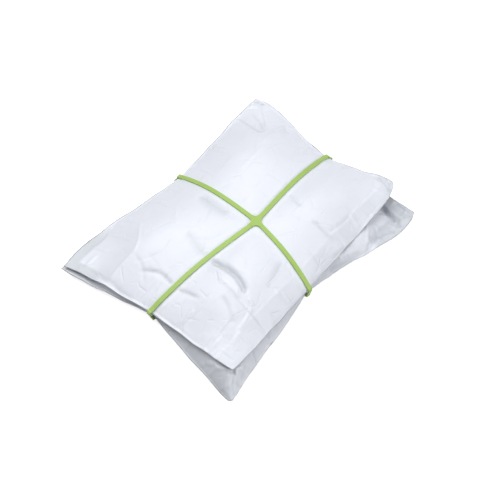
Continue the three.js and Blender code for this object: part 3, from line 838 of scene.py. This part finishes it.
def principled(tree, settings, links=None):
    """The shader of a material, joined to its output."""
    shader = add_node(tree, "ShaderNodeBsdfPrincipled", settings, links)
    add_node(tree, "ShaderNodeOutputMaterial", links={"Surface": shader.outputs["BSDF"]})


def polyethylene_film(film):
    """Blown low-density polyethylene, the white film of mailing bags: a cold white with a soft, slightly waxy
    gloss, fine crinkles that break up its highlights, and grey margins with no filling behind them. The same
    grey is painted in as shade, in the deep creases and on the lower bag's quarters under the upper bag."""
    material, tree = new_material("blown_polyethylene_film")
    where = add_node(tree, "ShaderNodeTexCoord").outputs["Object"]
    # Empty margins' grey, plus painted shade in the creases and on the lower bag's shaded quarters
    margin = add_node(tree, "ShaderNodeAttribute", {"attribute_name": "margin"}).outputs["Fac"]
    cloud = spread(tree, noise(tree, where, 45, Detail=3), to=(0, 0.2))
    tint = add_node(
        tree, "ShaderNodeMix", {"data_type": "RGBA", 6: to_linear(film.white), 7: to_linear(film.grey)},
        {0: higher(tree, margin, cloud)},
    )
    crinkle = noise(tree, where, 7, Detail=4, Roughness=0.6)
    turned = add_node(
        tree, "ShaderNodeMapping", {"Rotation": (0.3, 0.2, 0.6), "Scale": (1, 1.7, 1)}, {"Vector": where},
    )
    cells = add_node(
        tree, "ShaderNodeTexVoronoi", {"feature": "DISTANCE_TO_EDGE", "Scale": 1 / (34 * MM)},
        {"Vector": turned.outputs["Vector"]},
    )
    crease = spread(tree, cells.outputs["Distance"], of=(0, 0.045))
    hidden = spread(tree, noise(tree, where, 17, Detail=1), of=(0.62, 0.46))
    crinkled = relief(tree, crinkle, 0.25, 0.5)
    creased = relief(tree, higher(tree, crease, hidden), 0.6, 0.5, crinkled)
    principled(
        tree,
        {"IOR": 1.51, "Subsurface Weight": 0.15, "Subsurface Scale": 1.5 * MM, "Subsurface Radius": (1, 1, 1)},
        {"Base Color": tint.outputs[2], "Roughness": spread(tree, crinkle, to=(0.4, 0.58)), "Normal": creased},
    )
    return material


def moulded_rubber(band):
    """Compression-moulded silicone rubber, dyed through: an even satin green that lets a little light in at
    its edges, with the faint grain that a mould leaves."""
    material, tree = new_material("moulded_silicone_rubber")
    where = add_node(tree, "ShaderNodeTexCoord").outputs["Object"]
    grain = noise(tree, where, 0.9, Detail=2)
    bloom = spread(tree, noise(tree, where, 18, Detail=2), to=(0.93, 1.05))
    tone = add_node(tree, "ShaderNodeHueSaturation", {"Color": to_linear(band.green)}, {"Value": bloom})
    gloss = spread(tree, grain, to=(0.42, 0.56))
    principled(
        tree,
        {"IOR": 1.43, "Subsurface Weight": 0.1, "Subsurface Scale": 0.8 * MM, "Subsurface Radius": (1, 1, 0.4)},
        {"Base Color": tone.outputs["Color"], "Roughness": gloss, "Normal": relief(tree, grain, 0.2, 0.1)},
    )
    return material


def film_grey_and_painted_shade(outline, pressed):
    """How grey the film looks: 1 on wide stretches of empty film, painted shade in deep creases, and each
    corner's painted shade over the filling, one at the sides across X and one at the sides across Y, where the
    lower bag lies in the upper bag's shade."""
    covers = []
    for away, half, width in zip((outline.a, outline.b), outline.half, outline.empty_film()):
        outside = 1 - ramp((1 - away) * half, width, GREY_FADE)
        covers.append(outside * ramp(width, *GREY_WIDTHS))
    # Painted shade over each corner's quarter, for the shade under the upper bag
    grey = outline.by_corner("grey")
    nearer_x = smooth_step((outline.a - outline.b) * 4 + 0.65)
    covers.append(mix(grey[..., 1], grey[..., 0], nearer_x))
    # Painted shade in the grooves of the pressed folds
    covers.append(np.clip(-pressed / CREASE_SHADE_DEPTH, 0, 1))
    return np.maximum.reduce(covers)


def dress(piece, node, material):
    piece.data.materials.append(material)
    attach(piece, "root")
    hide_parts(node)


def add_bag(which, corners, folds, top_form, under_form):
    """Adds one bag: its two sheets are settled over their filling, pressed into folds, and rippled."""
    scene = bpy.context.scene
    film = scene.film
    seeds = {name: film.seed + steps for name, steps in SEED_STEPS[which].items()}
    outline, top = sheet(which, corners, top_form, 1, seeds["top"])
    _, under = sheet(which, corners, under_form, -1, seeds["under"])
    pressed = press_folds(outline, film, folds, seeds["folds"])
    # Grey of the empty film, with painted shade in the creases and on the lower bag's shaded quarters
    grey = film_grey_and_painted_shade(outline, pressed)
    if which == "upper":
        flap = flap_height(outline, scene.upper_bag)
        grey = np.maximum(grey, GREY_FLAP * flap / (scene.upper_bag.flap_step / MM))
        pressed = pressed + flap
    press(top, under, pressed)
    ripple = edge_ripple(outline, film, seeds["ripple"])
    for side in (top, under):
        side[..., 2] += ripple
    shift = to_frame(outline, which + "_bag")
    piece = bag_mesh(which + "_film_bag", top + shift, under + shift, grey)
    dress(piece, which + "_bag", polyethylene_film(film))


class BAGS_OT_lower_bag(bpy.types.Operator):
    """Add the lower film bag, settled over its filling"""
    bl_idname = "bags.lower_bag"
    bl_label = "Lower bag"

    def execute(self, context):
        add_bag("lower", LOWER_CORNERS, LOWER_FOLDS, lower_top_form, lower_under_form)
        return {"FINISHED"}


class BAGS_OT_upper_bag(bpy.types.Operator):
    """Add the upper film bag, with its closing flap and pressed folds"""
    bl_idname = "bags.upper_bag"
    bl_label = "Upper bag"

    def execute(self, context):
        add_bag("upper", UPPER_CORNERS, UPPER_FOLDS, upper_top_form, upper_under_form)
        return {"FINISHED"}


class BAGS_OT_cross_band(bpy.types.Operator):
    """Give the cross band its rubber"""
    bl_idname = "bags.cross_band"
    bl_label = "Cross band"

    def execute(self, context):
        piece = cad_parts["cross_band"]
        piece.data.materials.clear()
        piece.data.materials.append(moulded_rubber(context.scene.cross_band))
        return {"FINISHED"}


def area_light(name, place_at, size, strength):
    light = bpy.data.lights.new(name, "AREA")
    light.shape = "RECTANGLE"
    light.size, light.size_y = size
    light.energy = strength
    lamp = add_object(name, light)
    lamp.location = place_at
    lamp.rotation_euler = Vector(place_at).to_track_quat("Z", "Y").to_euler()


class BAGS_OT_stage(bpy.types.Operator):
    """Add the camera, the pale floor and the soft studio light"""
    bl_idname = "bags.stage"
    bl_label = "Stage"

    def execute(self, context):
        stage = context.scene.stage
        self.add_camera(context.scene, stage)
        self.add_floor(stage)
        for name, light in LIGHTS.items():
            area_light(name, light["at"], light["size"], getattr(stage, light["strength"]))
        self.add_sky(context.scene, stage)
        return {"FINISHED"}

    def add_camera(self, scene, stage):
        camera = bpy.data.cameras.new("camera")
        camera.lens = stage.lens
        camera.sensor_width = 36
        camera.clip_end = 20
        viewer = add_object("camera", camera)
        level = np.cos(stage.elevation)
        across, along = np.sin(stage.azimuth) * level, -np.cos(stage.azimuth) * level
        towards = Vector((across, along, np.sin(stage.elevation)))
        viewer.location = Vector(stage.target) + towards * stage.distance
        viewer.rotation_euler = towards.to_track_quat("Z", "Y").to_euler()
        scene.camera = viewer

    def add_floor(self, stage):
        size = 3.0
        mesh = bpy.data.meshes.new("floor")
        corners = [(-size, -size, 0), (size, -size, 0), (size, size, 0), (-size, size, 0)]
        mesh.from_pydata(corners, [], [(0, 1, 2, 3)])
        floor = add_object("floor", mesh)
        material, tree = new_material("matt_paper_backdrop")
        principled(tree, {
            "Base Color": to_linear(stage.floor), "Roughness": 0.9, "Specular IOR Level": 0.1,
            "Emission Color": (1, 1, 1, 1), "Emission Strength": stage.floor_glow,
        })
        mesh.materials.append(material)
        floor.visible_diffuse = False

    def add_sky(self, scene, stage):
        world = bpy.data.worlds.new("studio")
        world.use_nodes = True
        tree = world.node_tree
        tree.nodes.clear()
        back = add_node(tree, "ShaderNodeBackground", {"Color": (1, 1, 1, 1), "Strength": stage.sky})
        add_node(tree, "ShaderNodeOutputWorld", links={"Surface": back.outputs["Background"]})
        scene.world = world
        scene.view_settings.view_transform = "Standard"


class BAGS_PT_panel(bpy.types.Panel):
    """Sizes, colours and buttons for the banded bags"""
    bl_label = "Packing bags"
    bl_idname = "BAGS_PT_panel"
    bl_space_type = "VIEW_3D"
    bl_region_type = "UI"
    bl_category = "Packing bags"

    def draw(self, context):
        for group, (_, title) in GROUPS.items():
            box = self.layout.box()
            box.label(text=title)
            settings = getattr(context.scene, group)
            for name in settings.bl_rna.properties.keys():
                if name not in ("rna_type", "name"):
                    box.prop(settings, name)
        for operator in OPERATORS:
            self.layout.operator(operator.bl_idname)


GROUPS = {
    "lower_bag": (LowerBagSizes, "Lower bag"),
    "upper_bag": (UpperBagSizes, "Upper bag"),
    "film": (FilmSettings, "Film"),
    "cross_band": (BandSizes, "Cross band"),
    "stage": (StageSettings, "Stage"),
}
OPERATORS = (BAGS_OT_lower_bag, BAGS_OT_upper_bag, BAGS_OT_cross_band, BAGS_OT_stage)


def register():
    for name, (group, _) in GROUPS.items():
        bpy.utils.register_class(group)
        setattr(bpy.types.Scene, name, PointerProperty(type=group))
    for operator in (*OPERATORS, BAGS_PT_panel):
        bpy.utils.register_class(operator)


def unregister():
    for operator in (*OPERATORS, BAGS_PT_panel):
        bpy.utils.unregister_class(operator)
    for name, (group, _) in GROUPS.items():
        delattr(bpy.types.Scene, name)
        bpy.utils.unregister_class(group)


def main():
    register()
    bpy.ops.bags.stage()
    bpy.ops.bags.lower_bag()
    bpy.ops.bags.upper_bag()
    bpy.ops.bags.cross_band()


if __name__ == "__main__":
    main()
